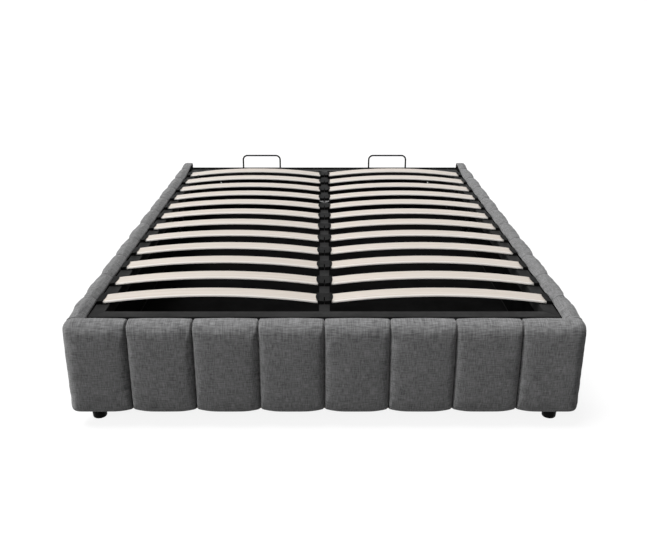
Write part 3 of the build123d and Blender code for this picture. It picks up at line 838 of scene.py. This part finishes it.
def cap_block(bm, outline, under, over, material_index=0):
    """A block over a plan outline, whose lower and upper heights follow x."""
    start = len(bm.faces)
    rings = [[Vector((x, y, height(abs(x)))) for x, y in outline] for height in (under, over)]
    sweep_rings(bm, rings, smooth=False)
    bm.faces.ensure_lookup_table()
    for face in bm.faces[start:]:
        face.material_index = material_index


def cap(bm, x_back, x_mouth, x_shelf, lip_back, y_mid, half, z_low, node):
    """One sleeve: a roof over the slat that ends in a bowed lip, two cheeks and a shelf."""
    low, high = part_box(node)
    way = 1 if x_mouth > x_back else -1

    def slat_low(x):
        return slat_under(min(max(x, low[0]), high[0]), node)

    def roof_low(x):
        return slat_low(x) + SLAT_THICK + CAP_PLAY

    def roof_top(x):
        return roof_low(x) + CAP_ROOF

    bow = [-1 + 2 * k / LIP_STEPS for k in range(LIP_STEPS + 1)]
    mouth = [(x_mouth + way * (LIP_BOW * (1 - t * t) - LIP_TUCK), y_mid + half * t) for t in bow]
    if lip_back is None:
        back = [(x_back, y_mid + half), (x_back, y_mid - half)]
    else:
        back = [(lip_back, y_mid + half), (lip_back, y_mid - half)]
        box = [(x_back, y_mid - half), (lip_back, y_mid - half)]
        box += [(lip_back, y_mid + half), (x_back, y_mid + half)]
        cap_block(bm, box, roof_low, roof_top)
    # The centre caps' lips take the darker material, whose extra darkness is painted shade
    cap_block(bm, mouth + back, roof_low, roof_top, 0 if lip_back is None else 1)
    shelf = [(x_back, y_mid - half), (x_shelf, y_mid - half)]
    shelf += [(x_shelf, y_mid + half), (x_back, y_mid + half)]
    cap_block(bm, shelf, lambda x: z_low, lambda x: slat_low(x) - SHELF_PLAY)
    x_end = x_mouth - way * CHEEK_BACK
    for sign in (-1, 1):
        y_out, y_in = y_mid + sign * half, y_mid + sign * (half - CAP_WALL + CHEEK_INSET)
        cheek = [(x_back, y_out), (x_end, y_out), (x_end, y_in), (x_back, y_in)]
        cap_block(
            bm, cheek, lambda x: slat_low(x) - CHEEK_DEEP, lambda x: roof_top(x) - CHEEK_INSET
        )


for name in ("left", "right"):
    low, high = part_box(f"end_caps_{name}")
    x_out, x_in = (low[0], high[0]) if name == "left" else (high[0], low[0])
    x_mouth = x_in + (x_out - x_in) * END_MOUTH / abs(x_out - x_in)
    bm = bmesh.new()
    for y_mid, half, node in ROWS:
        cap(bm, x_out, x_mouth, x_in, None, y_mid, half, low[2], node)
    replaced = (f"end_caps_{name}",)
    bevel(make_piece(f"end_holders_{name}", bm, (mat_cap,), "platform", replaced), CAP_EASE)

low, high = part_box("centre_caps")
bm = bmesh.new()
for y_mid, half, node in ROWS:
    for side in (-1, 1):
        x_mouth = side * high[0]
        cap(bm, side * SPLIT, x_mouth, x_mouth, side * LIP_BACK, y_mid, half, low[2], node)
    bridge = [(-SPLIT, y_mid), (SPLIT, y_mid), (SPLIT, y_mid + half), (-SPLIT, y_mid + half)]
    bridge_top = slat_under(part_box(node)[0][0], node) + SLAT_THICK + CAP_PLAY + CAP_ROOF
    cap_block(bm, bridge, lambda x: low[2], lambda x: bridge_top)
caps = make_piece("centre_holders", bm, (mat_cap, mat_lip_painted_shade), "platform", ("centre_caps",))
bevel(caps, CAP_EASE)


# Tubes, plates and brackets with eased edges

WELD = 0.00002
FLAT_ANGLE = 1.5
TUBE_EASE = 0.0016
RAIL_EASE = 0.0006
PLATE_EASE = 0.0004


def eased(node, material, width, segments):
    """A copy of a CAD node with its sharp edges eased, standing for the node."""
    source = nodes[node]
    bm = bmesh.new()
    bm.from_mesh(source.data)
    bmesh.ops.remove_doubles(bm, verts=bm.verts, dist=WELD)
    flat = math.radians(FLAT_ANGLE)
    bmesh.ops.dissolve_limit(bm, angle_limit=flat, verts=bm.verts, edges=bm.edges)
    for face in bm.faces:
        face.smooth = True
        face.material_index = 0
    piece = make_piece(f"{node}_eased", bm, (material,), source["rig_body"], (node,))
    bevel(piece, width, segments)


for node in both("side_tube") + ["foot_tube", "head_tube", "centre_bar_foot", "centre_bar_head"]:
    eased(node, mat_tube, TUBE_EASE, 3)
for node in both("lift_rail"):
    eased(node, mat_tube, RAIL_EASE, 1)
for node in both("gear_plate") + ["corner_brackets"]:
    eased(node, mat_bracket, PLATE_EASE, 1)

CARRIED = {
    "centre_bar_joiner": mat_tube,
    "pivot_pins": mat_bolt,
    "rod_pin_left": mat_bolt,
    "rod_pin_right": mat_bolt,
    # near-black pine, painted shade
    "floor_battens": mat_pine_painted_shade,
    "floor_panels": mat_floor,
    "head_rail_board": mat_panel,
    "foot_rail_board": mat_chip,
    "side_rail_board_left": mat_chip,
    "side_rail_board_right": mat_chip,
}
for node, material in CARRIED.items():
    data = nodes[node].data
    data.materials.clear()
    data.materials.append(material)


# Feet, with a rounded sole

# Radii at the top and the sole, the sole's rounding, and where the middle beam's feet stand
FOOT_TOP = 0.024
FOOT_SOLE = 0.021
FOOT_EASE = 0.004
BEAM_FOOT_Y = 0.465
low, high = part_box("feet")
corner_x, corner_y = high[0] - FOOT_TOP, high[1] - FOOT_TOP
spots = [(sx * corner_x, sy * corner_y) for sx in (-1, 1) for sy in (-1, 1)]
profile = [
    (FOOT_EASE * (1 - math.sin(a)), FOOT_SOLE - FOOT_EASE * (1 - math.cos(a)))
    for a in (1.57, 1.2, 0.8, 0.4, 0.0)
]
profile += [(high[2] - FOOT_EASE, FOOT_TOP), (high[2], FOOT_TOP)]
bm = bmesh.new()
for x, y in spots + [(0, -BEAM_FOOT_Y), (0, BEAM_FOOT_Y)]:
    lathe(bm, (x, y, 0), (0, 0, 1), profile)
make_piece("moulded_feet", bm, (mat_foot,), "base", ("feet",))


# Gas struts

# Middles of the right strut's two pins at rest
STRUT_LOW = (0.673, 0.560, 0.1085)
STRUT_HIGH = (0.673, 0.388, 0.2635)
STRUT_NECK = 0.017
ROD_SHOWING = 0.0385
STRUT_RADIUS = 0.010
ROD_RADIUS = 0.004
EYE_HALF = 0.005
EYE_EASE = 0.0012
EYE_PLAY = 0.0002
EYE_REACH = 0.008
NECK_RADIUS = 0.0045
NECK_END = 0.018
STRUT_EASE = 0.002
GLAND_BACK = 0.012
GLAND_HALF = 0.001
GLAND_WAIST = 0.94
ROD_INSIDE = 0.02


def strut_pieces(side, name):
    """A cylinder with its end fitting and gland, and a plated rod with its eye."""
    pivot = Vector((side * STRUT_LOW[0], *STRUT_LOW[1:]))
    top = Vector((side * STRUT_HIGH[0], *STRUT_HIGH[1:]))
    way = (top - pivot).normalized()
    body_end = (top - pivot).length - ROD_SHOWING
    eye = eased_profile(-EYE_HALF, EYE_HALF, STRUT_RADIUS - EYE_PLAY, EYE_EASE)
    profile = eased_profile(STRUT_NECK, body_end, STRUT_RADIUS, STRUT_EASE)
    groove = body_end - GLAND_BACK
    gland = [(groove - GLAND_HALF, STRUT_RADIUS), (groove, STRUT_RADIUS * GLAND_WAIST)]
    gland += [(groove + GLAND_HALF, STRUT_RADIUS)]
    neck = [(0.0, NECK_RADIUS), (NECK_END - EYE_REACH, NECK_RADIUS)]
    bm = bmesh.new()
    lathe(bm, pivot, (1, 0, 0), eye, sides=32)
    lathe(bm, pivot + way * EYE_REACH, way, neck, sides=24)
    lathe(bm, pivot, way, profile[:5] + gland + profile[5:])
    nodes_here = (f"strut_cylinder_{name}",)
    make_piece(f"strut_body_{name}", bm, (mat_strut,), f"strut_{name}", nodes_here)
    bm = bmesh.new()
    rod_end = body_end + ROD_SHOWING - EYE_REACH
    shaft = [(body_end - ROD_INSIDE, ROD_RADIUS), (rod_end, ROD_RADIUS)]
    lathe(bm, pivot, way, shaft, sides=32)
    make_piece(f"rod_shaft_{name}", bm, (mat_rod,), f"rod_{name}", (f"strut_rod_{name}",))
    bm = bmesh.new()
    lathe(bm, top, (1, 0, 0), eye, sides=32)
    make_piece(f"rod_eye_{name}", bm, (mat_bolt,), f"rod_{name}", ())


strut_pieces(-1, "left")
strut_pieces(1, "right")


# Small fasteners and the strip over the floor's joint, which the CAD leaves out


def screw_head(bm, spot, way, radius=0.0048):
    """A low domed screw head with a pit in its middle."""
    shares = ((0, 1), (0.0012, 1), (0.0022, 0.78), (0.0026, 0.4), (0.0018, 0.25))
    lathe(bm, spot, way, [(along, radius * share) for along, share in shares], sides=20)


PLATE_SHEET = 0.003
PLATE_FACE = HALF_IN - PLATE_SHEET
BRACKET_SCREW_HEIGHTS = (0.115, 0.215)
BRACKET_SCREW_IN = 0.040
GEAR_SCREWS = ((0.016, 0.016), (0.092, 0.016), (0.016, 0.052), (0.150, 0.130))
bm = bmesh.new()
low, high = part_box("corner_brackets")
for side in (-1, 1):
    x = side * (HALF_IN - BRACKET_SCREW_IN)
    for z in BRACKET_SCREW_HEIGHTS:
        screw_head(bm, (x, low[1] + PLATE_SHEET, z), (0, 1, 0))
        screw_head(bm, (x, high[1] - PLATE_SHEET, z), (0, -1, 0))
        screw_head(bm, (side * PLATE_FACE, low[1] + BRACKET_SCREW_IN, z), (-side, 0, 0))
low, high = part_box("gear_plate_right")
for side in (-1, 1):
    for y, z in GEAR_SCREWS:
        screw_head(bm, (side * PLATE_FACE, low[1] + y, low[2] + z), (-side, 0, 0))
make_piece("bracket_screws", bm, (mat_bolt,), "base", ())

# Flat H-shaped strip that holds the two floor panels together
STRIP_HALF = 0.011
STRIP_SLOPE = 0.003
STRIP_RISE = 0.0012
STRIP_CROWN = 0.0016
low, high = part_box("floor_panels")
joint_y = (low[1] + high[1]) / 2
profile = [(-STRIP_HALF, 0.0), (STRIP_SLOPE - STRIP_HALF, STRIP_RISE), (0.0, STRIP_CROWN)]
profile += [(STRIP_HALF - STRIP_SLOPE, STRIP_RISE), (STRIP_HALF, 0.0)]
bm = bmesh.new()
ends = (low[0] + STRIP_SLOPE, high[0] - STRIP_SLOPE)
rings = [[Vector((x, joint_y + y, high[2] + z)) for y, z in profile] for x in ends]
sweep_rings(bm, rings, smooth=False)
make_piece("floor_joint_strip", bm, (mat_cap,), "base", ())

# The splice of the centre bar: four bolts and the two halves of a raised clip
BOLT_X = 0.008
BOLT_Y = 0.022
BOLT_HEAD = 0.0052
BAR_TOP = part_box("centre_bar_foot")[1][2]
BAR_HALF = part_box("centre_bar_foot")[1][0]
SPLICE_Y = (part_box("centre_bar_foot")[1][1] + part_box("centre_bar_head")[0][1]) / 2
bm = bmesh.new()
for x in (-BOLT_X, BOLT_X):
    for y in (-BOLT_Y, BOLT_Y):
        screw_head(bm, (x, SPLICE_Y + y, BAR_TOP), (0, 0, 1), BOLT_HEAD)
make_piece("joint_bolts", bm, (mat_bolt,), "platform", ())

CLIP_HALF = 0.005
CLIP_RISE = 0.006
CLIP_SHEET = 0.002
CLIP_GAP = 0.003
CLIP_PLAY = 0.0002
CLIP_OVERHANG = 0.005
CLIP_EASE = 0.0004
bm = bmesh.new()
for side in (-1, 1):
    rings = []
    inner_end = (side * CLIP_GAP / 2, BAR_TOP + CLIP_PLAY)
    outer_end = (side * (BAR_HALF + CLIP_OVERHANG), BAR_TOP + CLIP_RISE)
    for x, z in (inner_end, outer_end):
        corners = [(-CLIP_HALF, 0), (CLIP_HALF, 0)]
        corners += [(CLIP_HALF, CLIP_SHEET), (-CLIP_HALF, CLIP_SHEET)]
        rings.append([Vector((x, SPLICE_Y + y, z + dz)) for y, dz in corners])
    sweep_rings(bm, rings, smooth=False)
bevel(make_piece("joint_clips", bm, (mat_clip,), "platform", ()), CLIP_EASE, 1)


# Mattress stops

STOP_BEND = 0.022
STOP_FULLER = 1.15
BEND_STEPS = 8


def stop_loop(side, name):
    """Bent wire loop in one smooth tube."""
    low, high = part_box(f"mattress_stop_{name}")
    wire = (high[1] - low[1]) / 2
    x0, x1 = sorted((abs(low[0]), abs(high[0])))
    x0, x1 = x0 + wire, x1 - wire
    y, z0, z1 = (low[1] + high[1]) / 2, low[2], high[2] - wire
    path = [(x0, z0), (x0, BAR_TOP)]
    for x, first_angle in ((x0 + STOP_BEND, 180), (x1 - STOP_BEND, 90)):
        for k in range(BEND_STEPS + 1):
            a = math.radians(first_angle - 90 * k / BEND_STEPS)
            out, up = STOP_BEND * math.cos(a), STOP_BEND * math.sin(a)
            path.append((x + out, z1 - STOP_BEND + up))
    path += [(x1, BAR_TOP), (x1, z0)]
    curve = bpy.data.curves.new(f"stop_loop_{name}", "CURVE")
    curve.dimensions = "3D"
    curve.bevel_depth = wire * STOP_FULLER
    curve.bevel_resolution = 5
    curve.use_fill_caps = True
    spline = curve.splines.new("POLY")
    spline.points.add(len(path) - 1)
    for point, (x, z) in zip(spline.points, path):
        point.co = (side * x, y, z, 1)
    spline.use_smooth = True
    curve.materials.append(mat_wire)
    piece = bpy.data.objects.new(f"stop_loop_{name}", curve)
    scene.collection.objects.link(piece)
    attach(piece, "platform")
    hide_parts(f"mattress_stop_{name}")


stop_loop(-1, "left")
stop_loop(1, "right")


# Floor, light and camera

RAY_KINDS = ("Camera", "Glossy", "Transmission")
FLOOR_HALF = 60
FLOOR_Z = -0.0002
FLOOR_GLOW = 0.88
SHADOW_GREY = 0.18
BOUNCE_GREY = 0.2
LENS = 42.37
SHIFT = 0.0009
CAMERA_AT = (0.0, -2.978, 1.2365)
CAMERA_DOWN = 20.87


def seen_directly(tree):
    """1 for the rays that should meet the white background."""
    path = add(tree, "ShaderNodeLightPath")
    camera, glossy, through = (path.outputs[f"Is {kind} Ray"] for kind in RAY_KINDS)
    total = math_of(tree, "ADD", math_of(tree, "ADD", camera, glossy), through)
    return math_of(tree, "MINIMUM", total, 1.0)


def stage_floor():
    """A pale floor that stays white to the camera, but for the bed's faint shadow."""
    signs = ((-1, -1), (1, -1), (1, 1), (-1, 1))
    bm = bmesh.new()
    bm.faces.new([bm.verts.new((sx * FLOOR_HALF, sy * FLOOR_HALF, FLOOR_Z)) for sx, sy in signs])
    mesh = bpy.data.meshes.new("floor")
    bm.to_mesh(mesh)
    bm.free()
    floor = bpy.data.objects.new("floor", mesh)
    scene.collection.objects.link(floor)
    material = bpy.data.materials.new("floor")
    material.use_nodes = True
    tree = material.node_tree
    tree.nodes.clear()
    out = add(tree, "ShaderNodeOutputMaterial")
    shadow = add(tree, "ShaderNodeBsdfDiffuse", in_Color=(*[SHADOW_GREY] * 3, 1))
    bounce = add(tree, "ShaderNodeBsdfDiffuse", in_Color=(*[BOUNCE_GREY] * 3, 1))
    glow = add(tree, "ShaderNodeEmission", in_Strength=FLOOR_GLOW)
    total = add(tree, "ShaderNodeAddShader")
    tree.links.new(shadow.outputs[0], total.inputs[0])
    tree.links.new(glow.outputs[0], total.inputs[1])
    choose = add(tree, "ShaderNodeMixShader")
    tree.links.new(seen_directly(tree), choose.inputs[0])
    tree.links.new(bounce.outputs[0], choose.inputs[1])
    tree.links.new(total.outputs[0], choose.inputs[2])
    tree.links.new(choose.outputs[0], out.inputs["Surface"])
    mesh.materials.append(material)


def sun(name, way, strength, softness):
    """A soft sun that shines along way."""
    light = bpy.data.lights.new(name, "SUN")
    light.energy = strength
    light.angle = math.radians(softness)
    lamp = bpy.data.objects.new(name, light)
    scene.collection.objects.link(lamp)
    lamp.rotation_euler = Vector(way).to_track_quat("-Z", "Y").to_euler()


def soft_world(light, background):
    """An even white world: light is its strength on things, background what the camera sees."""
    world = bpy.data.worlds.new("world")
    scene.world = world
    world.use_nodes = True
    tree = world.node_tree
    tree.nodes.clear()
    out = add(tree, "ShaderNodeOutputWorld")
    fill = add(tree, "ShaderNodeBackground", in_Color=(1, 1, 1, 1), in_Strength=light)
    back = add(tree, "ShaderNodeBackground", in_Color=(1, 1, 1, 1), in_Strength=background)
    choose = add(tree, "ShaderNodeMixShader")
    tree.links.new(seen_directly(tree), choose.inputs[0])
    tree.links.new(fill.outputs[0], choose.inputs[1])
    tree.links.new(back.outputs[0], choose.inputs[2])
    tree.links.new(choose.outputs[0], out.inputs["Surface"])


stage_floor()
sun("key", (0.36, 0.05, -0.93), 3.1, 35)
sun("side", (0.88, 0.36, -0.31), 1.13, 20)
soft_world(0.10, 1.0)

camera_data = bpy.data.cameras.new("camera")
camera_data.sensor_width = 36
camera_data.lens = LENS
camera_data.shift_x = SHIFT
camera = bpy.data.objects.new("camera", camera_data)
scene.collection.objects.link(camera)
camera.location = CAMERA_AT
camera.rotation_euler = (math.radians(90 - CAMERA_DOWN), 0, 0)
scene.camera = camera
scene.view_settings.view_transform = "Standard"
